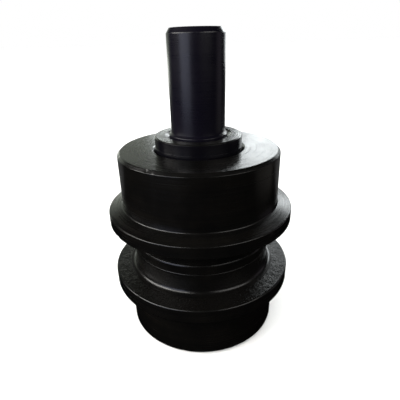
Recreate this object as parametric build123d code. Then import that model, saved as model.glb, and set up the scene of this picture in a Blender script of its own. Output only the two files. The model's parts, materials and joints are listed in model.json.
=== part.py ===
from build123d import *

import os
from math import cos, radians, sin

# Single-shaft track carrier roller of a small excavator, built as its real pieces.
#
# The roller stands on its cover end: +Z runs along its axis towards the free end of the shaft, and the
# origin is the centre of the flat cover end. The shell turns on two bushes about a fixed shaft, which sticks
# out at the top, where the machine's bracket grips it. The shell is two forgings, welded together in the
# middle of the waist, and it is full of oil: a pair of lapped seal rings keeps the oil in at the shaft end,
# and a cover with an O-ring, held by a snap ring, keeps it in at the other.

# ---- Driving dimensions, in millimetres -------------------------------------------------------------
tread_d = 92.0  # the two bands that the chain's rails run on
flange_d = 108.5
waist_d = 83.0
shell_length = 112.0
pin_d = 30.0  # the free end of the shaft, which the bracket grips
pin_stickout = 61.0  # from the shell's end face to the tip of the shaft
journal_d = 32.0  # where the bushes run
collar_d = 49.0
collar_stickout = 7.5

tread_r = tread_d / 2
flange_r = flange_d / 2
waist_r = waist_d / 2
pin_r = pin_d / 2
journal_r = journal_d / 2
collar_r = collar_d / 2

# ---- Fits -----------------------------------------------------------------------------------------------
fit_gap = 0.02  # radial room between two pieces of one body that touch
overshoot = 1.0  # how far a cutting solid reaches past the surface that it opens

# ---- Outside of the shell, as heights above the cover end -------------------------------------------
weld_z = shell_length / 2
upper_flange_root_z = 81.1
upper_flange_rim_top_z = 78.4
upper_flange_rim_bottom_z = 71.4
upper_flange_neck_z = 69.8
lower_flange_neck_z = 40.8
lower_flange_rim_top_z = 40.0
lower_flange_rim_bottom_z = 31.3
lower_flange_root_z = 26.7
upper_flange_root_fillet = 1.0
upper_flange_rim_round = 0.7
upper_flange_neck_fillet = 1.8
lower_flange_root_fillet = 1.2
lower_flange_rim_bottom_round = 1.6
lower_flange_rim_top_round = 1.0
lower_flange_neck_fillet = 3.0
shaft_end_chamfer = 1.6
cover_end_chamfer = 2.0
weld_width = 6.0
weld_depth = 6.0
weld_crown = 0.25

# ---- Inside of the shell ------------------------------------------------------------------------------
bush_wall = 2.0
bush_length = 22.0
bush_clearance = 0.03
bush_bevel = 0.5
oil_cavity_r = 24.0
oil_cavity_top_fillet = 3.0
oil_cavity_bottom_fillet = 2.0
mouth_gap = 0.7
mouth_depth = 8.5
mouth_chamfer = 1.0
seal_chamber_r = 21.9
seal_chamber_flare = 0.4
seal_chamber_depth = 8.0
cover_bore_r = 27.0
cover_bore_chamfer = 1.0
snap_groove_r = 28.7
snap_groove_z = 3.0
snap_groove_width = 2.2

mouth_r = collar_r + mouth_gap
mouth_floor_z = shell_length - mouth_depth
seal_floor_z = mouth_floor_z - seal_chamber_depth
bush_outer_r = journal_r + bush_clearance + bush_wall
upper_bush_top_z = seal_floor_z - bush_bevel
upper_bush_bottom_z = upper_bush_top_z - bush_length

# ---- Stack at the cover end, from the snap ring upwards -----------------------------------------------
play = 0.1  # between the thrust plate and each washer
seating = 0.05  # between a washer and the piece that it lies on
cover_bottom_z = snap_groove_z + snap_groove_width
cover_disc_thickness = 8.0
cover_height = 13.0
cover_recess_r = 19.0
cover_dish_r = 19.0
cover_dish_depth = 1.5
washer_thickness = 2.0
washer_bevel = 0.2
washer_rim_gap = 0.3  # from a washer's rim to the cover bore
washer_bore_margin = 1.0  # from a washer's bore out from what passes through it
plate_thickness = 6.0
plate_r = 24.0
plate_bevel = 0.8

cover_top_z = cover_bottom_z + cover_height
cover_disc_top_z = cover_bottom_z + cover_disc_thickness
outer_washer_z = cover_top_z + seating
plate_bottom_z = outer_washer_z + washer_thickness + play
plate_top_z = plate_bottom_z + plate_thickness  # also the inner end of the shaft
inner_washer_z = plate_top_z + play
hub_floor_z = inner_washer_z + washer_thickness + seating
lower_bush_top_z = hub_floor_z + bush_length

# ---- Shaft and collar ---------------------------------------------------------------------------------
tip_z = shell_length + pin_stickout
tip_chamfer_length = 2.6
tip_chamfer_depth = 1.6
journal_end_chamfer = 1.0
tip_chamfer_round = 1.2
tip_edge_round = 0.5
seat_bevel_round = 0.4
centre_mark_r = 3.0
centre_mark_depth = 2.8
oil_relief_depth = 0.5
oil_relief_margin = 1.5
shoulder_r = 17.0  # the collar is pressed down onto this shoulder
shoulder_top_z = shell_length - 0.5
shoulder_height = 2.6
seat_r = 16.2
collar_top_z = shell_length + collar_stickout
seat_end_z = collar_top_z + 0.5
seat_bevel = 1.2
collar_bottom_z = mouth_floor_z + 1.0
collar_edge = 0.6
collar_lip = 0.25
collar_lip_z = shell_length + 1.4
collar_countersink_r = 18.6
collar_countersink_depth = 1.6
collar_ring_section_r = 0.9
collar_ring_setback = 2.0  # from the countersink down to the O-ring's groove
collar_ring_z = collar_top_z - collar_countersink_depth - collar_ring_setback - collar_ring_section_r

# ---- Lapped seal rings ----------------------------------------------------------------------------------
seal_face_z = collar_bottom_z - 0.5
seal_face_gap = 0.06
seal_ring_bore_r = 17.4
seal_ring_bore_chamfer = 1.2
seal_ring_flange_r = 20.6
seal_ring_flange_thickness = 2.4
seal_ring_length = 6.4
seal_ring_root_r = 19.0
seal_ring_end_r = 18.3
toric_section_r = 1.66
toric_centre_r = 20.38
toric_offset = 4.6  # from the lapped faces to the middle of the toric ring

# ---- Fasteners and other small pieces ---------------------------------------------------------------------
bolt_count = 3
bolt_circle_r = 9.0
bolt_first_deg = 0.0
bolt_d = 6.0
bolt_clearance_d = 6.6
bolt_length = 20.0
bolt_tip_chamfer = 0.8
bolt_across_flats = 10.0
bolt_head_height = 4.0
bolt_head_bevel = 0.7
tapped_hole_depth = 17.0
spring_washer_d = 10.2
spring_washer_thickness = 1.6
spring_washer_slit = 1.0
dowel_count = 2
dowel_d = 3.5
dowel_length = 5.6
dowel_circle_r = 23.6
dowel_recess = 0.9  # of a dowel's end below the running face of its washer
dowel_hole_margin = 0.4  # from a dowel's buried end to the bottom of its hole
plug_d = 13.0
plug_length = 5.9
plug_recess = 0.5
plug_chamfer = 0.8
plug_across_flats = 6.0
plug_socket_depth = 4.0
cover_ring_section_r = 1.18
cover_ring_groove_width = 3.0
cover_ring_height = 4.6
snap_ring_thickness = 2.0
snap_ring_band = 3.6
snap_ring_gap = 0.15  # from the ring's rim to the groove's floor
snap_ring_opening_deg = 26.0
snap_ring_lug_r = 3.0
snap_ring_lug_inset = 0.6  # of a lug's rim inside the cover bore
snap_ring_lug_hole_r = 1.1
snap_ring_lug_angle_deg = 18.0

cover_ring_z = cover_bottom_z + cover_ring_height
inner_dowel_z = inner_washer_z + dowel_recess
outer_dowel_z = outer_washer_z + washer_thickness - dowel_recess - dowel_length


def turned(profile, rounds=()):
    """A solid turned about Z from (radius, height) points. Rounds lists (corner, fillet radius)."""
    face = make_face(Polyline(*profile, close=True))
    for corner, radius in rounds:
        nearest = face.vertices().sort_by_distance(Vector(*corner))[0]
        face = fillet(nearest, radius)
    return revolve(Plane.XZ * face, Axis.Z)


def ring(inner_r, outer_r, bottom_z, top_z):
    """A plain square-edged ring."""
    return turned([(inner_r, bottom_z), (outer_r, bottom_z), (outer_r, top_z), (inner_r, top_z)])


def bevelled_ring(inner_r, outer_r, bottom_z, top_z, bevel):
    """A ring with its four edges bevelled."""
    profile = [
        (inner_r, bottom_z + bevel),
        (inner_r + bevel, bottom_z),
        (outer_r - bevel, bottom_z),
        (outer_r, bottom_z + bevel),
        (outer_r, top_z - bevel),
        (outer_r - bevel, top_z),
        (inner_r + bevel, top_z),
        (inner_r, top_z - bevel),
    ]
    return turned(profile)


def bevelled_disc(radius, bottom_z, top_z, bevel):
    """A disc with its two rim edges bevelled."""
    profile = [
        (0, bottom_z),
        (radius - bevel, bottom_z),
        (radius, bottom_z + bevel),
        (radius, top_z - bevel),
        (radius - bevel, top_z),
        (0, top_z),
    ]
    return turned(profile)


def upright_cylinder(radius, bottom_z, top_z, place=(0, 0)):
    """A cylinder parallel to Z between two heights."""
    height = top_z - bottom_z
    return Pos(place[0], place[1], bottom_z + height / 2) * Cylinder(radius, height)


def rubber_ring(centre_r, centre_z, section_r):
    """An O-ring or toric ring of round section."""
    return Pos(0, 0, centre_z) * Torus(centre_r, section_r)


def around(count, radius, first_deg=0.0):
    """Evenly spaced (x, y) places on a circle."""
    angles = [radians(first_deg + 360 * i / count) for i in range(count)]
    return [(radius * cos(a), radius * sin(a)) for a in angles]


def bolt_places():
    """Where the retaining bolts stand."""
    return around(bolt_count, bolt_circle_r, bolt_first_deg)


def shell_shaft_half():
    """The forging at the shaft end: tread, thinner flange, half of the waist, seal chamber and bush bore."""
    profile = [
        (mouth_r + mouth_chamfer, shell_length),
        (tread_r - shaft_end_chamfer, shell_length),
        (tread_r, shell_length - shaft_end_chamfer),
        (tread_r, upper_flange_root_z),
        (flange_r, upper_flange_rim_top_z),
        (flange_r, upper_flange_rim_bottom_z),
        (waist_r, upper_flange_neck_z),
        (waist_r, weld_z + weld_width / 2),
        (waist_r - weld_depth, weld_z),
        (oil_cavity_r, weld_z),
        (oil_cavity_r, upper_bush_bottom_z),
        (bush_outer_r, upper_bush_bottom_z),
        (bush_outer_r, seal_floor_z),
        (seal_chamber_r, seal_floor_z),
        (seal_chamber_r + seal_chamber_flare, mouth_floor_z),
        (mouth_r, mouth_floor_z),
        (mouth_r, shell_length - mouth_chamfer),
    ]
    rounds = [
        ((tread_r, upper_flange_root_z), upper_flange_root_fillet),
        ((flange_r, upper_flange_rim_top_z), upper_flange_rim_round),
        ((flange_r, upper_flange_rim_bottom_z), upper_flange_rim_round),
        ((waist_r, upper_flange_neck_z), upper_flange_neck_fillet),
        ((oil_cavity_r, upper_bush_bottom_z), oil_cavity_top_fillet),
    ]
    return turned(profile, rounds)


def shell_cover_half():
    """The forging at the cover end: tread, thicker flange, half of the waist, bush bore and cover bore."""
    groove_top_z = snap_groove_z + snap_groove_width
    profile = [
        (cover_bore_r + cover_bore_chamfer, 0),
        (tread_r - cover_end_chamfer, 0),
        (tread_r, cover_end_chamfer),
        (tread_r, lower_flange_root_z),
        (flange_r, lower_flange_rim_bottom_z),
        (flange_r, lower_flange_rim_top_z),
        (waist_r, lower_flange_neck_z),
        (waist_r, weld_z - weld_width / 2),
        (waist_r - weld_depth, weld_z),
        (oil_cavity_r, weld_z),
        (oil_cavity_r, lower_bush_top_z),
        (bush_outer_r, lower_bush_top_z),
        (bush_outer_r, hub_floor_z),
        (cover_bore_r, hub_floor_z),
        (cover_bore_r, groove_top_z),
        (snap_groove_r, groove_top_z),
        (snap_groove_r, snap_groove_z),
        (cover_bore_r, snap_groove_z),
        (cover_bore_r, cover_bore_chamfer),
    ]
    rounds = [
        ((tread_r, lower_flange_root_z), lower_flange_root_fillet),
        ((flange_r, lower_flange_rim_bottom_z), lower_flange_rim_bottom_round),
        ((flange_r, lower_flange_rim_top_z), lower_flange_rim_top_round),
        ((waist_r, lower_flange_neck_z), lower_flange_neck_fillet),
        ((oil_cavity_r, lower_bush_top_z), oil_cavity_bottom_fillet),
    ]
    shell = turned(profile, rounds)
    dowel_hole_top_z = inner_dowel_z + dowel_length + dowel_hole_margin
    for place in around(dowel_count, dowel_circle_r):
        shell -= upright_cylinder(dowel_d / 2, hub_floor_z, dowel_hole_top_z, place)
    return shell


def weld_seam():
    """The bead that fills the V groove between the two forgings, with a slight crown at the surface."""
    low = (waist_r, weld_z - weld_width / 2)
    crown = (waist_r + weld_crown, weld_z)
    high = (waist_r, weld_z + weld_width / 2)
    root = (waist_r - weld_depth, weld_z)
    outline = ThreePointArc(low, crown, high) + Polyline(high, root, low)
    return revolve(Plane.XZ * make_face(outline), Axis.Z)


def bush(bottom_z):
    """A bush with bevelled ends and an oil groove round the middle of its bore."""
    groove_depth = 0.6
    groove_width = 3.0
    inner_r = journal_r + bush_clearance
    top_z = bottom_z + bush_length
    groove_z = (bottom_z + top_z - groove_width) / 2
    groove = ring(inner_r - overshoot, inner_r + groove_depth, groove_z, groove_z + groove_width)
    return bevelled_ring(inner_r, bush_outer_r - fit_gap, bottom_z, top_z, bush_bevel) - groove


def axle():
    """The fixed shaft: pin with a bevelled tip, collar seat and shoulder, journals, tapped inner end."""
    relief_r = journal_r - oil_relief_depth
    relief_bottom_z = lower_bush_top_z + oil_relief_margin
    relief_top_z = upper_bush_bottom_z - oil_relief_margin
    shoulder_bottom_z = shoulder_top_z - shoulder_height
    profile = [
        (0, plate_top_z),
        (journal_r - journal_end_chamfer, plate_top_z),
        (journal_r, plate_top_z + journal_end_chamfer),
        (journal_r, relief_bottom_z),
        (relief_r, relief_bottom_z + oil_relief_depth),
        (relief_r, relief_top_z - oil_relief_depth),
        (journal_r, relief_top_z),
        (journal_r, shoulder_bottom_z),
        (shoulder_r, shoulder_bottom_z + shoulder_r - journal_r),
        (shoulder_r, shoulder_top_z),
        (seat_r, shoulder_top_z),
        (seat_r, seat_end_z),
        (pin_r, seat_end_z + seat_bevel),
        (pin_r, tip_z - tip_chamfer_length),
        (pin_r - tip_chamfer_depth, tip_z),
        (0, tip_z),
    ]
    rounds = [
        ((seat_r, seat_end_z), seat_bevel_round),
        ((pin_r, tip_z - tip_chamfer_length), tip_chamfer_round),
        ((pin_r - tip_chamfer_depth, tip_z), tip_edge_round),
    ]
    shaft = turned(profile, rounds)
    for place in bolt_places():
        shaft -= upright_cylinder(bolt_d / 2, plate_top_z, plate_top_z + tapped_hole_depth, place)
    mark = Cone(centre_mark_r / 8, centre_mark_r, centre_mark_depth)
    return shaft - Pos(0, 0, tip_z - centre_mark_depth / 2) * mark


def seal_collar():
    """The collar pressed on the shaft. It houses the fixed seal ring, and the bracket seats on its top."""
    lip_r = collar_r + collar_lip
    profile = [
        (seat_r, shoulder_top_z),
        (seat_r, collar_top_z - collar_countersink_depth),
        (collar_countersink_r, collar_top_z),
        (collar_r - collar_edge, collar_top_z),
        (collar_r, collar_top_z - collar_edge),
        (collar_r, collar_lip_z + collar_lip),
        (lip_r, collar_lip_z),
        (lip_r, collar_bottom_z + collar_edge),
        (lip_r - collar_edge, collar_bottom_z),
        (seal_chamber_r + seal_chamber_flare, collar_bottom_z),
        (seal_chamber_r, shoulder_top_z),
    ]
    groove_bottom_z = collar_ring_z - collar_ring_section_r
    groove_top_z = collar_ring_z + collar_ring_section_r
    groove = ring(seat_r - overshoot, seat_r + 2 * collar_ring_section_r, groove_bottom_z, groove_top_z)
    return turned(profile) - groove


def collar_o_ring():
    """The O-ring in the collar's bore."""
    return rubber_ring(seat_r + collar_ring_section_r, collar_ring_z, collar_ring_section_r - fit_gap)


def seal_ring(side):
    """One lapped metal seal ring, whose back tapers under its toric ring. Side is +1 for the ring in the
    collar and -1 for the ring in the shell."""
    face_z = seal_face_z + side * seal_face_gap / 2
    step_z = face_z + side * seal_ring_flange_thickness
    end_z = face_z + side * seal_ring_length
    profile = [
        (seal_ring_bore_r, face_z + side * seal_ring_bore_chamfer),
        (seal_ring_bore_r + seal_ring_bore_chamfer, face_z),
        (seal_ring_flange_r, face_z),
        (seal_ring_flange_r, step_z),
        (seal_ring_root_r, step_z),
        (seal_ring_end_r, end_z),
        (seal_ring_bore_r, end_z),
    ]
    return turned(profile, [((seal_ring_flange_r, step_z), 0.6)])


def toric_ring(side):
    """The rubber ring that presses a seal ring against the other and keeps it from turning."""
    return rubber_ring(toric_centre_r, seal_face_z + side * toric_offset, toric_section_r)


def thrust_washer(bottom_z, passing_r, running_face_z):
    """A bronze washer with four radial oil grooves in its running face, held by two dowels. What passes
    through its bore has the radius passing_r."""
    inner_r = passing_r + washer_bore_margin
    outer_r = cover_bore_r - washer_rim_gap
    groove_width = 2.4
    groove_depth = 0.7
    top_z = bottom_z + washer_thickness
    washer = bevelled_ring(inner_r, outer_r, bottom_z, top_z, washer_bevel)
    for turn_deg in (45, 135):
        bar = Box(2 * outer_r + 2 * overshoot, groove_width, 2 * groove_depth)
        washer -= Pos(0, 0, running_face_z) * Rot(0, 0, turn_deg) * bar
    for place in around(dowel_count, dowel_circle_r):
        washer -= upright_cylinder(dowel_d / 2, bottom_z - overshoot, top_z + overshoot, place)
    return washer


def washer_dowels():
    """The dowels that stop the thrust washers turning: two in the shell and two in the cover."""
    pins = []
    for bottom_z in (inner_dowel_z, outer_dowel_z):
        for place in around(dowel_count, dowel_circle_r):
            pins.append(upright_cylinder(dowel_d / 2 - fit_gap, bottom_z, bottom_z + dowel_length, place))
    return Compound(pins)


def thrust_plate():
    """The disc bolted to the inner end of the shaft. It runs between the two thrust washers."""
    plate = bevelled_disc(plate_r, plate_bottom_z, plate_top_z, plate_bevel)
    for place in bolt_places():
        hole_r = bolt_clearance_d / 2
        plate -= upright_cylinder(hole_r, plate_bottom_z - overshoot, plate_top_z + overshoot, place)
    return plate


def retaining_bolts():
    """Hexagon bolts, heads down, through the thrust plate into the shaft."""
    shank_r = bolt_d / 2 - fit_gap
    head_top_z = plate_bottom_z - spring_washer_thickness
    head_bottom_z = head_top_z - bolt_head_height
    shank_top_z = head_top_z + bolt_length
    corner_r = bolt_across_flats / 2 / cos(radians(30))
    bolts = []
    for place in bolt_places():
        hexagon = RegularPolygon(bolt_across_flats / 2, 6, major_radius=False)
        head = Pos(*place, head_bottom_z) * extrude(hexagon, bolt_head_height)
        envelope = turned(
            [
                (0, head_bottom_z),
                (corner_r - bolt_head_bevel, head_bottom_z),
                (corner_r, head_bottom_z + bolt_head_bevel / 2),
                (corner_r, head_top_z),
                (0, head_top_z),
            ]
        )
        head &= Pos(*place, 0) * envelope
        shank = upright_cylinder(shank_r, head_top_z, shank_top_z - bolt_tip_chamfer, place)
        point = Cone(shank_r, shank_r - bolt_tip_chamfer, bolt_tip_chamfer)
        bolts.append(head + shank + Pos(*place, shank_top_z - bolt_tip_chamfer / 2) * point)
    return Compound(bolts)


def spring_washers():
    """Split spring washers under the bolt heads."""
    bottom_z = plate_bottom_z - spring_washer_thickness
    washers = []
    for place in bolt_places():
        washer = upright_cylinder(spring_washer_d / 2, bottom_z, plate_bottom_z, place)
        hole_r = bolt_clearance_d / 2
        washer -= upright_cylinder(hole_r, bottom_z - overshoot, plate_bottom_z + overshoot, place)
        slit = Box(spring_washer_d / 2, spring_washer_slit, 3 * spring_washer_thickness)
        washer -= Pos(*place, bottom_z) * Rot(0, 0, 30) * Pos(spring_washer_d / 4, 0, 0) * slit
        washers.append(washer)
    return Compound(washers)


def cover():
    """The end cover: dished outside, O-ring groove in its edge, plug hole, recess for the bolt heads."""
    outer_r = cover_bore_r - fit_gap
    edge = 0.8
    profile = [
        (0, cover_bottom_z + cover_dish_depth),
        (cover_dish_r - cover_dish_depth, cover_bottom_z + cover_dish_depth),
        (cover_dish_r, cover_bottom_z),
        (outer_r - edge, cover_bottom_z),
        (outer_r, cover_bottom_z + edge),
        (outer_r, cover_top_z - edge),
        (outer_r - edge, cover_top_z),
        (cover_recess_r, cover_top_z),
        (cover_recess_r, cover_disc_top_z),
        (0, cover_disc_top_z),
    ]
    body = turned(profile, [((cover_recess_r, cover_disc_top_z), 2.0)])
    groove_bottom_z = cover_ring_z - cover_ring_groove_width / 2
    groove_r = cover_bore_r - 2 * cover_ring_section_r - fit_gap
    body -= ring(groove_r, outer_r + overshoot, groove_bottom_z, groove_bottom_z + cover_ring_groove_width)
    body -= upright_cylinder(plug_d / 2, cover_bottom_z, cover_disc_top_z + overshoot)
    dowel_hole_bottom_z = outer_dowel_z - dowel_hole_margin
    for place in around(dowel_count, dowel_circle_r):
        body -= upright_cylinder(dowel_d / 2, dowel_hole_bottom_z, cover_top_z + overshoot, place)
    return body


def cover_o_ring():
    """The O-ring between the cover's groove and the shell."""
    centre_r = cover_bore_r - cover_ring_section_r - fit_gap / 2
    return rubber_ring(centre_r, cover_ring_z, cover_ring_section_r)


def snap_ring():
    """The internal snap ring under the cover: an open ring with a plier lug at each end."""
    outer_r = snap_groove_r - snap_ring_gap
    bottom_z = snap_groove_z + (snap_groove_width - snap_ring_thickness) / 2
    top_z = bottom_z + snap_ring_thickness
    half_opening = radians(snap_ring_opening_deg / 2)
    reach = 2 * outer_r
    opening_corners = [
        (0, 0),
        (reach * cos(half_opening), reach * sin(half_opening)),
        (reach * cos(half_opening), -reach * sin(half_opening)),
    ]
    opening = extrude(make_face(Polyline(*opening_corners, close=True)), top_z + overshoot)
    body = ring(outer_r - snap_ring_band, outer_r, bottom_z, top_z) - opening
    lug_circle_r = cover_bore_r - snap_ring_lug_r - snap_ring_lug_inset
    for lug_deg in (snap_ring_lug_angle_deg, -snap_ring_lug_angle_deg):
        angle = radians(lug_deg)
        place = (lug_circle_r * cos(angle), lug_circle_r * sin(angle))
        body += upright_cylinder(snap_ring_lug_r, bottom_z, top_z, place)
        body -= upright_cylinder(snap_ring_lug_hole_r, bottom_z - overshoot, top_z + overshoot, place)
    return body


def oil_plug():
    """The headless plug of the filling hole, with a hexagon socket in its outer end."""
    bottom_z = cover_bottom_z + cover_dish_depth + plug_recess
    body = bevelled_disc(plug_d / 2 - fit_gap, bottom_z, bottom_z + plug_length, plug_chamfer)
    hexagon = RegularPolygon(plug_across_flats / 2, 6, major_radius=False)
    return body - Pos(0, 0, bottom_z) * extrude(hexagon, plug_socket_depth)


pieces = {
    "shell_shaft_half": shell_shaft_half(),
    "shell_cover_half": shell_cover_half(),
    "weld_seam": weld_seam(),
    "bush_shaft_side": bush(upper_bush_bottom_z),
    "bush_cover_side": bush(hub_floor_z),
    "axle": axle(),
    "seal_collar": seal_collar(),
    "collar_o_ring": collar_o_ring(),
    "seal_ring_fixed": seal_ring(1),
    "seal_ring_turning": seal_ring(-1),
    "toric_ring_fixed": toric_ring(1),
    "toric_ring_turning": toric_ring(-1),
    "thrust_plate": thrust_plate(),
    "thrust_washer_inner": thrust_washer(inner_washer_z, journal_r, inner_washer_z),
    "thrust_washer_outer": thrust_washer(outer_washer_z, cover_recess_r, plate_bottom_z - play),
    "washer_dowels": washer_dowels(),
    "retaining_bolts": retaining_bolts(),
    "spring_washers": spring_washers(),
    "cover": cover(),
    "cover_o_ring": cover_o_ring(),
    "snap_ring": snap_ring(),
    "oil_plug": oil_plug(),
}

os.makedirs("parts", exist_ok=True)
for name, piece in pieces.items():
    export_step(piece, f"parts/{name}.step")
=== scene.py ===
import json
import math

import bmesh
import bpy
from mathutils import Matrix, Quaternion, Vector, noise


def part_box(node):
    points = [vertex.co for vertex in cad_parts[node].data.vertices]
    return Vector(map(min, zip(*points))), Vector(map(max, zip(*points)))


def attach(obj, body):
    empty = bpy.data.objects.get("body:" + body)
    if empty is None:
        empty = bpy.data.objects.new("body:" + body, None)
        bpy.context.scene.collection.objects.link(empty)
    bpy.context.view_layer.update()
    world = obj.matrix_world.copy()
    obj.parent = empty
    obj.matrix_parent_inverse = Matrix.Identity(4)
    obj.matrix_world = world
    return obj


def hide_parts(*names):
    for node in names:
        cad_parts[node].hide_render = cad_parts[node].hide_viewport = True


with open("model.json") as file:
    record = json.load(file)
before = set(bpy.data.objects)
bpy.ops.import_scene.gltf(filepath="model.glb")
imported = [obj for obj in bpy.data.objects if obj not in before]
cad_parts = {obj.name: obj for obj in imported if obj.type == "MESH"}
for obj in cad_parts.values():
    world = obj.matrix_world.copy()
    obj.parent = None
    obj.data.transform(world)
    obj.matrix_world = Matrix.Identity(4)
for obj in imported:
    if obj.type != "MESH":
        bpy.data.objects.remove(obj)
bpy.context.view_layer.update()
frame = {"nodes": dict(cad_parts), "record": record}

# The looks of a track carrier roller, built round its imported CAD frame. The shell's two forgings, the weld
# between them and the seal collar are built again here, with turned, forged and welded skins. Every other
# node keeps its CAD shape and gets a material. Outlines and skins are in millimetres, out from the roller's
# axis, which is +Z, and up from the cover end. Everything else is in metres.

MM = 0.001
SHELL_SEGMENTS = 560
WELD_SEGMENTS = 1440  # enough for the ripples of the bead
COLLAR_SEGMENTS = 540
ARC_STEP_DEG = 9.0
ARC_STEP_MM = 0.12  # an arc's points are no closer than this
SUPPORT = 0.25  # from a rounded corner to the loop that keeps the surface beside it flat, in mm
RELIEF_FADE = 0.9  # a zone's relief grows from nothing over this distance from its corners, in mm
KNOCK_REACH = 1.6  # how far a knock on an edge spreads over the plain zones beside it, in mm

# ---- Places, from the frame -----------------------------------------------------------------------------
mounts = {m["name"]: m for m in frame["record"]["mounts"]}
shell_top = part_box("shell_shaft_half")[1].z / MM
flange_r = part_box("shell_shaft_half")[1].x / MM
tread_r = mounts["tread_at_shaft_end"]["pos_m"][0] / MM
weld_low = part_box("weld_seam")[0].z / MM
weld_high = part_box("weld_seam")[1].z / MM
weld_z = (weld_low + weld_high) / 2
collar_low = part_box("seal_collar")[0].z / MM
collar_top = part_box("seal_collar")[1].z / MM


# ---- Materials ------------------------------------------------------------------------------------------
DRAWN_OUT = 0.012  # how much slower a lathe ring's noise changes round the axis than across the rings


class Graph:
    """A material's node graph, with one Principled shader."""

    def __init__(self, name, color, metallic, roughness, specular):
        self.material = bpy.data.materials.new(name)
        self.material.use_nodes = True
        self.tree = self.material.node_tree
        self.shader = self.tree.nodes["Principled BSDF"]
        self.shader.inputs["Base Color"].default_value = (*color, 1)
        self.shader.inputs["Metallic"].default_value = metallic
        self.shader.inputs["Roughness"].default_value = roughness
        self.shader.inputs["Specular IOR Level"].default_value = specular
        self.place = self.node("ShaderNodeTexCoord").outputs["Object"]

    def node(self, kind, **inputs):
        """A new node, with the named inputs set or linked."""
        made = self.tree.nodes.new(kind)
        for key, value in inputs.items():
            self.feed(made.inputs[key], value)
        return made

    def feed(self, socket, value):
        if isinstance(value, bpy.types.NodeSocket):
            self.tree.links.new(value, socket)
        else:
            socket.default_value = value

    def math(self, operation, a, b=0.0):
        made = self.node("ShaderNodeMath")
        made.operation = operation
        self.feed(made.inputs[0], a)
        self.feed(made.inputs[1], b)
        return made.outputs[0]

    def span(self, value, low, high, to_low, to_high):
        """Value brought from the range low..high to the range to_low..to_high, and kept inside it."""
        made = self.node("ShaderNodeMapRange")
        for socket, number in zip(made.inputs, (value, low, high, to_low, to_high)):
            self.feed(socket, number)
        return made.outputs[0]

    def noise(self, size_mm, detail=3.0, roughness=0.55, vector=None):
        """Noise from 0 to 1 whose largest lumps are about size_mm across."""
        made = self.node("ShaderNodeTexNoise", Vector=vector or self.place, Scale=1 / (size_mm * MM))
        made.inputs["Detail"].default_value = detail
        made.inputs["Roughness"].default_value = roughness
        return made.outputs["Fac"]

    def rings(self, pitch_mm, along, outward, detail=3.0):
        """Noise that is drawn out round the axis, as a lathe tool leaves it. Along and outward say how far
        it changes up the axis and out from it."""
        x, y, z = self.node("ShaderNodeSeparateXYZ", Vector=self.place).outputs
        squares = self.math("ADD", self.math("MULTIPLY", x, x), self.math("MULTIPLY", y, y))
        radius = self.math("SQRT", squares)
        across = self.math("ADD", self.math("MULTIPLY", z, along), self.math("MULTIPLY", radius, outward))
        joined = self.node("ShaderNodeCombineXYZ")
        self.feed(joined.inputs[0], self.math("MULTIPLY", x, DRAWN_OUT))
        self.feed(joined.inputs[1], self.math("MULTIPLY", y, DRAWN_OUT))
        self.feed(joined.inputs[2], across)
        return self.noise(pitch_mm, detail, vector=joined.outputs[0])

    def blend(self, factor, low, high):
        """A colour between low and high, each of which is a colour or a socket."""
        made = self.node("ShaderNodeMix")
        made.data_type = "RGBA"
        color_a, color_b = made.inputs[6], made.inputs[7]
        self.feed(made.inputs["Factor"], factor)
        self.feed(color_a, (*low, 1) if isinstance(low, tuple) else low)
        self.feed(color_b, (*high, 1) if isinstance(high, tuple) else high)
        return made.outputs[2]

    def bump(self, height, depth_mm, under=None):
        """The normal of a bumpy surface, on top of the bumps under it."""
        made = self.node("ShaderNodeBump", Height=height, Distance=depth_mm * MM)
        if under:
            self.feed(made.inputs["Normal"], under)
        return made.outputs[0]

    def finish(self, color=None, roughness=None, normal=None):
        """The material, once the sockets that vary over the surface are linked."""
        for socket, value in (("Base Color", color), ("Roughness", roughness), ("Normal", normal)):
            if value:
                self.feed(self.shader.inputs[socket], value)
        return self.material


# Paint tones, each with the tone of its worn patches.
BLACK = (0.0036, 0.0035, 0.0034)
BLACK_BROWN = (0.0068, 0.006, 0.005)
BLACK_BLUE = (0.0046, 0.0038, 0.0095)
WORN_BLUE = (0.0066, 0.0052, 0.0112)
BLACK_GREY = (0.0042, 0.004, 0.0062)
WORN_GREY = (0.006, 0.0054, 0.0074)
DUST = (0.05, 0.047, 0.042)

# How a tool's rings follow one another: (up the axis, out from it).
UPRIGHT = (1.0, 0.0)
FLAT = (0.0, 1.0)
SLOPING = (1.0, 1.0)

NOISE_MIDDLE = (0.3, 0.7)  # where nearly all of a noise's values lie
ORANGE_PEEL_MM = 0.008
BAND_DEPTH = 2.5  # of the broad bands under the tool's rings, in depths of the rings
BAND_PITCH = 8  # and their width, in pitches of the rings


def turned_paint(name, lie, pitch_mm, depth_mm, roughness, specular=0.5, tones=(BLACK, BLACK_BROWN)):
    """Thin black paint over a turned surface. The tool's rings show through it, and a little dust lies on
    it. Lie is how the rings follow one another, and the tones are those of plain and worn paint."""
    g = Graph(name, tones[0], 0.0, sum(roughness) / 2, specular)
    rings = g.rings(pitch_mm, *lie)
    bands = g.rings(BAND_PITCH * pitch_mm, *lie, detail=2.0)
    cloud = g.noise(16, detail=5.0)
    orange_peel = g.noise(1.1, detail=2.0)
    worn = g.span(g.math("MULTIPLY", cloud, bands), 0.15, 0.4, 0.0, 1.0)
    specks = g.span(g.noise(0.8, detail=4.0, roughness=0.7), 0.7, 0.78, 0.0, 0.6)
    tone = g.blend(specks, g.blend(worn, *tones), DUST)
    stains = g.span(cloud, *NOISE_MIDDLE, -0.03, 0.04)
    gloss = g.math("ADD", g.span(rings, *NOISE_MIDDLE, *roughness), stains)
    normal = g.bump(bands, BAND_DEPTH * depth_mm)
    normal = g.bump(rings, depth_mm, normal)
    normal = g.bump(orange_peel, ORANGE_PEEL_MM, normal)
    return g.finish(tone, gloss, normal)


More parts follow.
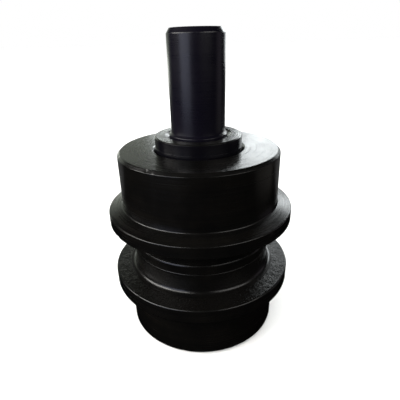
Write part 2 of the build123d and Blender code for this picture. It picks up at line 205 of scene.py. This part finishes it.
def forged_paint(name, grain_mm, depth_mm, roughness, specular):
    """Black paint over scaly forged steel, whose fine grains glitter."""
    g = Graph(name, BLACK, 0.0, sum(roughness) / 2, specular)
    grains = g.noise(grain_mm, detail=2.0, roughness=0.6)
    lumps = g.noise(4 * grain_mm)
    cloud = g.noise(14, detail=4.0)
    hollows = g.span(grains, 0.35, 0.65, 1.0, 0.0)
    specks = g.span(g.noise(0.6, detail=4.0, roughness=0.7), 0.66, 0.76, 0.0, 0.7)
    tone = g.blend(specks, g.blend(hollows, BLACK, BLACK_BROWN), DUST)
    stains = g.span(cloud, *NOISE_MIDDLE, -0.04, 0.04)
    gloss = g.math("ADD", g.span(grains, *NOISE_MIDDLE, *roughness), stains)
    normal = g.bump(grains, depth_mm, g.bump(lumps, 1.5 * depth_mm))
    return g.finish(tone, gloss, normal)


def smooth_paint(name, roughness):
    """Black paint over a smooth skin, with slight orange peel and runs."""
    g = Graph(name, BLACK, 0.0, sum(roughness) / 2, 0.5)
    cloud = g.noise(18, detail=5.0)
    orange_peel = g.noise(1.4, detail=2.0)
    runs = g.noise(6)
    tone = g.blend(g.span(cloud, 0.35, 0.7, 0.0, 1.0), BLACK, BLACK_BROWN)
    normal = g.bump(orange_peel, 1.5 * ORANGE_PEEL_MM, g.bump(runs, 0.05))
    return g.finish(tone, g.span(cloud, *NOISE_MIDDLE, *roughness), normal)


def metal(name, color, roughness):
    """Bare metal with turned rings and faint stains."""
    g = Graph(name, color, 1.0, sum(roughness) / 2, 0.5)
    rings = g.rings(0.4, *SLOPING)
    stains = g.span(g.noise(9, detail=4.0), 0.4, 0.75, 0.0, 1.0)
    tone = g.blend(stains, color, tuple(0.6 * c for c in color))
    return g.finish(tone, g.span(rings, *NOISE_MIDDLE, *roughness), g.bump(rings, 0.006))


def rubber(name):
    """Matt black rubber with a fine grain."""
    g = Graph(name, (0.02, 0.02, 0.02), 0.0, 0.6, 0.3)
    grain = g.noise(0.6, detail=2.0)
    return g.finish(roughness=g.span(grain, *NOISE_MIDDLE, 0.5, 0.65), normal=g.bump(grain, 0.02))


# ---- Skins: how far a surface stands out at a place on it, in mm ----------------------------------------
# Each skin lies a little low, so that hardly any of it stands out past the CAD shape.


def forged_skin(p):
    """Slow waves, lumps of scale and close grains."""
    waves = 0.5 * noise.noise(p * 0.08)
    lumps = 0.4 * noise.noise(p * 0.35)
    grains = 0.7 * noise.noise(p * 1.1)
    return 0.15 * (waves + lumps + grains - 0.4)


def ring_noise(p, across):
    """Noise that changes with across, and hardly at all round the axis."""
    return noise.noise(Vector((p.x * 0.01, p.y * 0.01, across)))


def waist_skin(p):
    """A forged skin that has been cleaned up: slow waves, with a few shallow rings."""
    return 0.06 * noise.noise(p * 0.1) + 0.03 * ring_noise(p, p.z * 0.9) - 0.03


def tool_rings(p):
    """Rings that a lathe tool leaves on a cone or a flat."""
    across = math.hypot(p.x, p.y) + 0.3 * p.z
    return 0.03 * ring_noise(p, across * 1.5) - 0.012


RIPPLES = 150
RIPPLE_HEIGHT = 0.025
RIPPLE_BOW = 0.03  # how far a ripple is bowed along the bead at its edges, in radians
WANDER_HEIGHT = 0.06
STOP_ANGLE = math.radians(218)
STOP_WIDTH = math.radians(6)
STOP_HEIGHT = 0.4
CRATER_WIDTH = 0.3 * STOP_WIDTH
CRATER_DEPTH = 0.55


def weld_skin(p):
    """Close ripples across the bead, slow wander, and the lump and crater where the bead stops."""
    half_width = (weld_high - weld_low) / 2
    across = (p.z - weld_z) / half_width
    inside = max(0.0, 1 - across * across)
    angle = math.atan2(p.y, p.x)
    ripple = RIPPLE_HEIGHT * math.sin(RIPPLES * (angle + RIPPLE_BOW * across * across))
    wander = WANDER_HEIGHT * noise.noise(Vector((p.x * 0.08, p.y * 0.08, across)))
    away = (angle - STOP_ANGLE + math.pi) % (2 * math.pi) - math.pi
    lump = STOP_HEIGHT * math.exp(-((away / STOP_WIDTH) ** 2))
    crater = CRATER_DEPTH * math.exp(-((away / CRATER_WIDTH) ** 2) - (2 * across) ** 2)
    return inside * (ripple + wander + lump - crater)


# ---- Turned pieces --------------------------------------------------------------------------------------
class Finish:
    """How a zone of a turned piece is made: its material, the spacing of its loops in mm, and its skin. A
    zone without a step is plain, and has loops only beside its corners and where a knock can reach."""

    def __init__(self, material, step=None, skin=None):
        self.material = material
        self.step = step
        self.skin = skin


class Corner:
    """A corner of an outline. Its finish is that of the edge which leaves it."""

    def __init__(self, r, z, rounding, finish):
        self.p = Vector((r, z))
        self.rounding = rounding
        self.finish = finish


def rounded(before, corner, after):
    """The points that round off one corner."""
    to_before = (before.p - corner.p).normalized()
    to_after = (after.p - corner.p).normalized()
    opening = to_before.angle(to_after)
    if corner.rounding == 0:
        return [corner.p.copy()]
    centre = corner.p + (to_before + to_after).normalized() * corner.rounding / math.sin(opening / 2)
    reach = corner.rounding / math.tan(opening / 2)
    start = corner.p + to_before * reach - centre
    end = corner.p + to_after * reach - centre
    turn = math.pi - opening
    count = min(math.degrees(turn) / ARC_STEP_DEG, corner.rounding * turn / ARC_STEP_MM)
    count = max(2, math.ceil(count))
    points = []
    for i in range(count + 1):
        t = turn * i / count
        points.append(centre + (start * math.sin(turn - t) + end * math.sin(t)) / math.sin(turn))
    return points


def loops(length, step):
    """How far the loops on a straight stretch are from its start, in mm."""
    inner = length - 2 * SUPPORT
    if inner < SUPPORT:
        return []
    if step is None:
        near = [KNOCK_REACH, length - KNOCK_REACH] if length > 4 * KNOCK_REACH else []
        return [SUPPORT, *near, length - SUPPORT]
    count = math.ceil(inner / step)
    return [SUPPORT + inner * k / count for k in range(count + 1)]


def close_points(outline):
    """The outline's closely spaced points, each with the finish of the edge that leaves it and how much of
    that finish's skin shows there."""
    arcs = []
    for i, corner in enumerate(outline):
        arcs.append(rounded(outline[i - 1], corner, outline[(i + 1) % len(outline)]))
    points = []
    for i, corner in enumerate(outline):
        points += [(p, corner.finish, 0.0) for p in arcs[i]]
        start, end = arcs[i][-1], arcs[(i + 1) % len(outline)][0]
        length = (end - start).length
        for along in loops(length, corner.finish.step):
            shows = min(1.0, along / RELIEF_FADE, (length - along) / RELIEF_FADE)
            points.append((start.lerp(end, along / length), corner.finish, shows))
    return points


def turned(name, outline, segments, dents=None):
    """A closed solid turned about Z. The outline runs down its outside and up its inside."""
    profile = close_points(outline)
    count = len(profile)
    bm = bmesh.new()
    rings = []
    for i, (p, finish, shows) in enumerate(profile):
        along = profile[(i + 1) % count][0] - profile[i - 1][0]
        outward = Vector((-along.y, along.x)).normalized()
        ring = []
        for s in range(segments):
            angle = 2 * math.pi * s / segments
            cos, sin = math.cos(angle), math.sin(angle)
            place = Vector((p.x * cos, p.x * sin, p.y))
            height = shows * finish.skin(place) if finish.skin else 0.0
            if dents:
                height += dents(place)
            q = p + outward * height
            ring.append(bm.verts.new((q.x * cos * MM, q.x * sin * MM, q.y * MM)))
        rings.append(ring)
    materials = list(dict.fromkeys(finish.material for _, finish, _ in profile))
    for i in range(count):
        here, below = rings[i], rings[(i + 1) % count]
        slot = materials.index(profile[i][1].material)
        for s in range(segments):
            t = (s + 1) % segments
            quad = bm.faces.new((here[s], below[s], below[t], here[t]))
            quad.material_index = slot
            quad.smooth = True
    mesh = bpy.data.meshes.new(name)
    bm.to_mesh(mesh)
    bm.free()
    for material in materials:
        mesh.materials.append(material)
    piece = bpy.data.objects.new(name, mesh)
    bpy.context.collection.objects.link(piece)
    return piece


# ---- Finishes of the turned pieces ----------------------------------------------------------------------
BARE_STEP = 50.0  # longer than any edge: a zone that no knock reaches has loops only beside its corners

tread = Finish(turned_paint("tread_paint", UPRIGHT, pitch_mm=0.6, depth_mm=0.01, roughness=(0.19, 0.27)))
face = Finish(turned_paint("end_face_paint", FLAT, pitch_mm=0.5, depth_mm=0.005, roughness=(0.22, 0.29)))
mouth = Finish(
    turned_paint(
        "mouth_paint", (0.7, 0.7), pitch_mm=0.5, depth_mm=0.004, roughness=(0.12, 0.18), specular=1.0
    )
)
cone = Finish(
    turned_paint("flange_cone_paint", (0.3, 1.0), pitch_mm=0.7, depth_mm=0.02, roughness=(0.22, 0.32)),
    step=0.5,
    skin=tool_rings,
)
rim = Finish(
    turned_paint("flange_rim_paint", UPRIGHT, pitch_mm=0.9, depth_mm=0.018, roughness=(0.2, 0.3)), step=1.2
)
forged = Finish(
    forged_paint("forged_paint", grain_mm=0.7, depth_mm=0.2, roughness=(0.2, 0.34), specular=0.22),
    step=0.55,
    skin=forged_skin,
)
waist = Finish(smooth_paint("waist_paint", roughness=(0.2, 0.3)), step=0.75, skin=waist_skin)
bore = Finish(
    turned_paint("bore_paint", UPRIGHT, pitch_mm=0.4, depth_mm=0.008, roughness=(0.3, 0.45)), step=BARE_STEP
)
joint = Finish(bore.material, step=BARE_STEP)
bead = Finish(smooth_paint("weld_paint", roughness=(0.2, 0.3)), step=0.35, skin=weld_skin)
collar_side = Finish(
    turned_paint(
        "collar_side_paint",
        UPRIGHT,
        pitch_mm=0.5,
        depth_mm=0.012,
        roughness=(0.18, 0.26),
        specular=0.16,
        tones=(BLACK_GREY, WORN_GREY),
    ),
    step=1.0,
)
collar_face = Finish(
    turned_paint(
        "collar_face_paint", FLAT, pitch_mm=0.45, depth_mm=0.03, roughness=(0.22, 0.3), specular=0.8
    ),
    step=0.3,
    skin=tool_rings,
)

# ---- The two forgings, in mm ----------------------------------------------------------------------------
# Shaft side, from the end face down.
END_CHAMFER = 1.6
SHAFT_CONE_FOOT_Z = 81.1  # where the thin flange's cone leaves the tread
SHAFT_RIM = (71.4, 78.4)
SHAFT_NECK_Z = 69.8  # where the thin flange's lower face meets the waist
MOUTH_R = 25.2
MOUTH_CHAMFER = 1.0
MOUTH_FLOOR_Z = 103.5
SEAT_R = 22.3  # of the tapered seats that hold the toric rings, at their open ends
SEAT_SMALL_R = 21.9  # and at their inner ends
BUSH_R = 18.03
BUSH_TOP_Z = 95.5
BUSH_FOOT_Z = 73.0
CAVITY_R = 24.0

# The waist and its weld.
WAIST_R = 41.5
WELD_ROOT_R = 35.5
WELD_GROOVE = 0.22  # depth of the groove at the weld's upper edge
GROOVE_TOP = 1.2  # from the weld's upper edge to where the groove begins
GROOVE_FOOT = 0.7  # and to where it has its full depth
WELD_DIP = 0.1  # depth of the dip at the weld's lower edge
DIP_RISE = 0.9  # from the weld's lower edge to where the dip ends
BEAD_CROWN = 0.12  # how far the bead stands out past the waist
BEAD_SHOULDER = 0.9  # from each edge of the bead to its crown

# Cover side, from the waist down.
COVER_NECK_Z = 40.8  # where the thick flange's upper face meets the waist
CLEANED_R = WAIST_R + 3.6  # the waist's cleaned skin ends here, a little way out on that face
CLEANED_Z = 40.57
COVER_RIM = (31.3, 40.0)
COVER_CONE_FOOT_Z = 26.7  # where the thick flange's cone meets the tread
COVER_CHAMFER = 2.0
COVER_BORE_R = 27.0
BORE_CHAMFER = 1.0
SNAP_GROOVE_R = 28.7
SNAP_GROOVE = (3.0, 5.2)
HUB_Z = 28.5
HUB_TOP_Z = 50.5

# Knocks on the edges, from handling: (degrees round from +X, r, z, width, depth).
RIM_R = flange_r - 0.05
KNOCKS = (
    (236, tread_r - 0.8, shell_top - 0.8, 0.8, 0.35),
    (241, tread_r, shell_top - 1.7, 0.6, 0.2),
    (197, tread_r - 0.7, shell_top - 0.7, 1.0, 0.3),
    (312, RIM_R, SHAFT_RIM[1] - 0.4, 1.1, 0.3),
    (214, RIM_R, SHAFT_RIM[0] + 0.6, 1.3, 0.35),
    (75, RIM_R, SHAFT_RIM[1] - 0.8, 0.9, 0.3),
    (228, RIM_R - 0.2, COVER_RIM[1] - 0.4, 1.2, 0.35),
    (288, RIM_R, COVER_RIM[0] + 1.1, 1.4, 0.4),
    (146, RIM_R, COVER_RIM[1] - 0.7, 1.0, 0.3),
    (20, RIM_R, COVER_RIM[0] + 1.7, 1.2, 0.35),
    (95, tread_r - 0.8, shell_top - 0.8, 0.9, 0.3),
    (255, tread_r - 0.8, COVER_CHAMFER - 0.8, 1.4, 0.35),
)
KNOCK_EDGE = 3  # widths from a knock's middle to where it ends


def knocks(p):
    """Shallow dents where the roller's edges have been knocked."""
    height = 0.0
    for degrees, r, z, width, depth in KNOCKS:
        angle = math.radians(degrees)
        away = (p - Vector((r * math.cos(angle), r * math.sin(angle), z))).length / width
        if away < KNOCK_EDGE:
            height -= depth * math.exp(-away * away)
    return height


shaft_half = [
    Corner(MOUTH_R + MOUTH_CHAMFER, shell_top, 0.2, face),
    Corner(tread_r - END_CHAMFER, shell_top, 0.35, face),
    Corner(tread_r, shell_top - END_CHAMFER, 0.35, tread),
    Corner(tread_r, SHAFT_CONE_FOOT_Z, 1.0, cone),
    Corner(flange_r, SHAFT_RIM[1], 0.7, rim),
    Corner(flange_r, SHAFT_RIM[0], 0.8, forged),
    Corner(WAIST_R, SHAFT_NECK_Z, 1.8, waist),
    Corner(WAIST_R, weld_high + GROOVE_TOP, 0.3, waist),
    Corner(WAIST_R - WELD_GROOVE, weld_high + GROOVE_FOOT, 0.2, waist),
    Corner(WAIST_R - WELD_GROOVE, weld_high, 0.0, joint),
    Corner(WELD_ROOT_R, weld_z, 0.0, joint),
    Corner(CAVITY_R, weld_z, 0.0, bore),
    Corner(CAVITY_R, BUSH_FOOT_Z, 3.0, bore),
    Corner(BUSH_R, BUSH_FOOT_Z, 0.0, bore),
    Corner(BUSH_R, BUSH_TOP_Z, 0.0, bore),
    Corner(SEAT_SMALL_R, BUSH_TOP_Z, 0.0, bore),
    Corner(SEAT_R, MOUTH_FLOOR_Z, 0.0, bore),
    Corner(MOUTH_R, MOUTH_FLOOR_Z, 0.0, bore),
    Corner(MOUTH_R, shell_top - MOUTH_CHAMFER, 0.1, mouth),
]
cover_half = [
    Corner(CAVITY_R, weld_z, 0.0, joint),
    Corner(WELD_ROOT_R, weld_z, 0.0, joint),
    Corner(WAIST_R - WELD_DIP, weld_low, 0.0, waist),
    Corner(WAIST_R, weld_low - DIP_RISE, 0.3, waist),
    Corner(WAIST_R, COVER_NECK_Z, 3.0, waist),
    Corner(CLEANED_R, CLEANED_Z, 0.0, forged),
    Corner(flange_r, COVER_RIM[1], 1.0, rim),
    Corner(flange_r, COVER_RIM[0], 1.6, cone),
    Corner(tread_r, COVER_CONE_FOOT_Z, 1.2, tread),
    Corner(tread_r, COVER_CHAMFER, 0.4, face),
    Corner(tread_r - COVER_CHAMFER, 0.0, 0.3, face),
    Corner(COVER_BORE_R + BORE_CHAMFER, 0.0, 0.2, face),
    Corner(COVER_BORE_R, BORE_CHAMFER, 0.2, bore),
    Corner(COVER_BORE_R, SNAP_GROOVE[0], 0.15, bore),
    Corner(SNAP_GROOVE_R, SNAP_GROOVE[0], 0.0, bore),
    Corner(SNAP_GROOVE_R, SNAP_GROOVE[1], 0.0, bore),
    Corner(COVER_BORE_R, SNAP_GROOVE[1], 0.15, bore),
    Corner(COVER_BORE_R, HUB_Z, 0.0, bore),
    Corner(BUSH_R, HUB_Z, 0.0, bore),
    Corner(BUSH_R, HUB_TOP_Z, 0.0, bore),
    Corner(CAVITY_R, HUB_TOP_Z, 2.0, bore),
]
weld_outline = [
    Corner(WELD_ROOT_R, weld_z, 0.0, joint),
    Corner(WAIST_R - WELD_GROOVE, weld_high, 0.15, bead),
    Corner(WAIST_R + BEAD_CROWN, weld_high - BEAD_SHOULDER, 0.6, bead),
    Corner(WAIST_R + BEAD_CROWN, weld_low + BEAD_SHOULDER, 0.6, bead),
    Corner(WAIST_R - WELD_DIP, weld_low, 0.15, joint),
]

# ---- The seal collar, in mm -----------------------------------------------------------------------------
SHAFT_SEAT_R = 16.2
COLLAR_R = 24.5
COLLAR_EDGE = 0.6
LIP_R = 24.75
LIP_Z = 113.4
LIP_SLOPE = 0.25
COUNTERSINK = 2.4  # how far the countersink of the collar's bore reaches out
COUNTERSINK_DEPTH = 1.6
SHOULDER_Z = 111.5
RING_GROOVE_R = 18.0
RING_GROOVE = (114.1, 115.9)

collar_outline = [
    Corner(SHAFT_SEAT_R + COUNTERSINK, collar_top, 0.15, collar_face),
    Corner(COLLAR_R - COLLAR_EDGE, collar_top, 0.25, collar_face),
    Corner(COLLAR_R, collar_top - COLLAR_EDGE, 0.25, collar_side),
    Corner(COLLAR_R, LIP_Z + LIP_SLOPE, 0.1, collar_side),
    Corner(LIP_R, LIP_Z, 0.1, collar_side),
    Corner(LIP_R, collar_low + COLLAR_EDGE, 0.2, collar_side),
    Corner(LIP_R - COLLAR_EDGE, collar_low, 0.2, collar_side),
    Corner(SEAT_R, collar_low, 0.15, bore),
    Corner(SEAT_SMALL_R, SHOULDER_Z, 0.15, bore),
    Corner(SHAFT_SEAT_R, SHOULDER_Z, 0.15, bore),
    Corner(SHAFT_SEAT_R, RING_GROOVE[0], 0.1, bore),
    Corner(RING_GROOVE_R, RING_GROOVE[0], 0.1, bore),
    Corner(RING_GROOVE_R, RING_GROOVE[1], 0.1, bore),
    Corner(SHAFT_SEAT_R, RING_GROOVE[1], 0.1, bore),
    Corner(SHAFT_SEAT_R, collar_top - COUNTERSINK_DEPTH, 0.15, collar_face),
]

shell_a = turned("shell_forging_shaft_side", shaft_half, SHELL_SEGMENTS, knocks)
shell_b = turned("shell_forging_cover_side", cover_half, SHELL_SEGMENTS, knocks)
weld = turned("weld_bead", weld_outline, WELD_SEGMENTS)
collar = turned("seal_collar_turned", collar_outline, COLLAR_SEGMENTS)
for piece, node, body, role in (
    (shell_a, "shell_shaft_half", "roller_group", "painted_forging"),
    (shell_b, "shell_cover_half", "roller_group", "painted_forging"),
    (weld, "weld_seam", "roller_group", "painted_weld"),
    (collar, "seal_collar", "shaft_group", "painted_collar"),
):
    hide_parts(node)
    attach(piece, body)

# ---- Finishes of the CAD nodes --------------------------------------------------------------------------
shaft_paint = turned_paint(
    "shaft_paint",
    UPRIGHT,
    pitch_mm=0.7,
    depth_mm=0.003,
    roughness=(0.27, 0.32),
    tones=(BLACK_BLUE, WORN_BLUE),
)
cover_paint = turned_paint("cover_paint", (0.2, 1.0), pitch_mm=0.5, depth_mm=0.012, roughness=(0.3, 0.42))
ground_steel = metal("ground_steel", (0.5, 0.5, 0.5), (0.22, 0.35))
black_oxide = metal("black_oxide", (0.05, 0.05, 0.053), (0.3, 0.45))
seal_iron = metal("seal_iron", (0.36, 0.35, 0.34), (0.25, 0.4))
bronze = metal("bronze", (0.55, 0.36, 0.17), (0.25, 0.4))
black_rubber = rubber("black_rubber")
node_finishes = {
    "axle": shaft_paint,
    "cover": cover_paint,
    "thrust_plate": ground_steel,
    "washer_dowels": ground_steel,
    "retaining_bolts": black_oxide,
    "spring_washers": black_oxide,
    "snap_ring": black_oxide,
    "oil_plug": black_oxide,
    "seal_ring_fixed": seal_iron,
    "seal_ring_turning": seal_iron,
    "bush_shaft_side": bronze,
    "bush_cover_side": bronze,
    "thrust_washer_inner": bronze,
    "thrust_washer_outer": bronze,
    "collar_o_ring": black_rubber,
    "toric_ring_fixed": black_rubber,
    "toric_ring_turning": black_rubber,
    "cover_o_ring": black_rubber,
}
for node, material in node_finishes.items():
    for slot in frame["nodes"][node].material_slots:
        slot.material = material

# ---- Floor and light ------------------------------------------------------------------------------------
FLOOR_R = 30.0
FLOOR_TONES = ((0.86, 0.86, 0.85), (0.88, 0.88, 0.87))
floor_graph = Graph("pale_floor", FLOOR_TONES[0], 0.0, 0.9, 0.0)
patches = floor_graph.span(floor_graph.noise(300), *NOISE_MIDDLE, 0.0, 1.0)
floor_material = floor_graph.finish(floor_graph.blend(patches, *FLOOR_TONES))
floor_mesh = bpy.data.meshes.new("floor")
floor_bm = bmesh.new()
bmesh.ops.create_circle(floor_bm, cap_ends=True, segments=96, radius=FLOOR_R)
floor_bm.to_mesh(floor_mesh)
floor_bm.free()
floor_mesh.materials.append(floor_material)
floor = bpy.data.objects.new("floor", floor_mesh)
# It throws no light on the roller, and lets the lamps below it shine through.
floor.visible_glossy = False
floor.visible_diffuse = False
floor.visible_shadow = False
bpy.context.collection.objects.link(floor)

# A white backdrop, with only a weak fill from it on the roller. The lamps light the roller.
FILL = 0.1
world = bpy.data.worlds.new("studio")
bpy.context.scene.world = world
world.use_nodes = True
world.cycles_visibility.glossy = False
nodes, links = world.node_tree.nodes, world.node_tree.links
seen_by_camera = nodes.new("ShaderNodeLightPath").outputs["Is Camera Ray"]
strength = nodes.new("ShaderNodeMapRange")
links.new(seen_by_camera, strength.inputs["Value"])
strength.inputs["To Min"].default_value = FILL
strength.inputs["To Max"].default_value = 1.0
nodes["Background"].inputs["Color"].default_value = (1, 1, 1, 1)
links.new(strength.outputs[0], nodes["Background"].inputs["Strength"])

AIM = Vector((0, 0, 0.08))  # in the roller, level with its thin flange


def softbox(name, azimuth, elevation, distance, size, radiance, color=(1, 1, 1)):
    """A rectangular lamp, facing the roller. Azimuth is in degrees to the right of the far side, distance
    and size are in metres, and radiance is how bright its face is, where white paper is about 1."""
    light = bpy.data.lights.new(name, "AREA")
    light.shape = "RECTANGLE"
    light.size, light.size_y = size
    light.energy = radiance * math.pi * light.size * light.size_y
    light.color = color
    lamp = bpy.data.objects.new(name, light)
    turn, rise = math.radians(azimuth), math.radians(elevation)
    away = Vector((math.sin(turn) * math.cos(rise), math.cos(turn) * math.cos(rise), math.sin(rise)))
    lamp.location = AIM + away * distance
    lamp.rotation_mode = "QUATERNION"
    lamp.rotation_quaternion = away.to_track_quat("Z", "Y")
    lamp.visible_camera = False
    bpy.context.collection.objects.link(lamp)


DAYLIGHT = (0.94, 0.99, 1.0)
GREEN_DAYLIGHT = (0.92, 1.0, 0.86)
PALE_GREEN = (0.94, 1.0, 0.97)
COOL_GREEN = (0.96, 1.0, 0.92)
BLUE_SHADE = (0.73, 0.78, 1.0)
WARM_WHITE = (1.0, 0.99, 0.95)
WARM_ROOM = (1.0, 0.98, 0.94)
NEUTRAL_ROOM = (1.0, 0.99, 0.97)
ROSE_SHADE = (0.97, 0.85, 1.0)
TABLE_BROWN = (1.0, 0.95, 0.87)

# On the far side: the window, the door and the wall, which the end face and the cones mirror.
softbox("window", 27, 18, 1.0, (0.66, 0.20), 6.5, DAYLIGHT)
softbox("window_sill", 23, 4, 1.0, (0.50, 0.10), 1.9, DAYLIGHT)
softbox("far_wall", -32, 10, 1.0, (0.80, 0.44), 0.62, GREEN_DAYLIGHT)
softbox("far_door", -3, 12, 1.0, (0.22, 0.08), 7.0, PALE_GREEN)
softbox("far_sill", -26, 0, 1.0, (0.40, 0.09), 2.5, COOL_GREEN)
# On the near side: panels for the fillets, the edges and the shaft, and walls for the views from behind.
softbox("left_panel", -135, 8, 0.8, (0.56, 0.36), 1.7, BLUE_SHADE)
softbox("front_panel", -140, 34, 0.9, (0.50, 0.24), 4.5, WARM_WHITE)
softbox("left_bank", -104, 28, 0.9, (0.70, 0.30), 8.5, WARM_ROOM)
softbox("right_bank", 128, 32, 0.9, (0.70, 0.24), 2.5, WARM_ROOM)
softbox("near_right_wall", 142, 19, 1.0, (0.80, 0.22), 1.2, NEUTRAL_ROOM)
softbox("near_left_wall", -150, 20, 1.0, (0.40, 0.20), 1.2, NEUTRAL_ROOM)
softbox("right_panel", 80, 8, 1.0, (0.5, 0.5), 0.2, ROSE_SHADE)
# Below the floor: the weak glow of the table, which the upright faces mirror.
softbox("right_table_glow", 82, -14, 1.0, (0.60, 0.26), 0.13, TABLE_BROWN)
softbox("table_glow", 0, -20, 1.0, (2.4, 0.30), 0.12)
# High up on the far side, for the fronts of the cones.
softbox("high_window", 5, 44, 1.0, (0.9, 0.30), 0.5)

# An even light that falls on the floor alone, and keeps it pale.
ceiling_data = bpy.data.lights.new("ceiling", "SUN")
ceiling_data.energy = 3.4
ceiling_data.angle = math.radians(110)
ceiling = bpy.data.objects.new("ceiling", ceiling_data)
lit = bpy.data.collections.new("lit_by_ceiling")
lit.objects.link(floor)
ceiling.light_linking.receiver_collection = lit
bpy.context.collection.objects.link(ceiling)

# ---- Camera: its place and aim in tread radii, from the middle of the shell's end face ------------------
EYE_BACK = 4.181
EYE_UP = 1.18
AIM_DOWN = 0.732
ROLL = -0.026  # radians
LENS = 31.12
unit = tread_r * MM
end_face = Vector((0, 0, shell_top * MM))
eye = end_face + unit * Vector((0, -EYE_BACK, EYE_UP))
target = end_face - unit * Vector((0, 0, AIM_DOWN))
camera_data = bpy.data.cameras.new("camera")
camera_data.lens = LENS
camera_data.sensor_width = 36.0
camera_data.clip_start = 0.01
camera = bpy.data.objects.new("camera", camera_data)
camera.location = eye
camera.rotation_mode = "QUATERNION"
camera.rotation_quaternion = (target - eye).to_track_quat("-Z", "Y") @ Quaternion((0, 0, 1), ROLL)
bpy.context.collection.objects.link(camera)
bpy.context.scene.camera = camera
bpy.context.scene.view_settings.view_transform = "Standard"
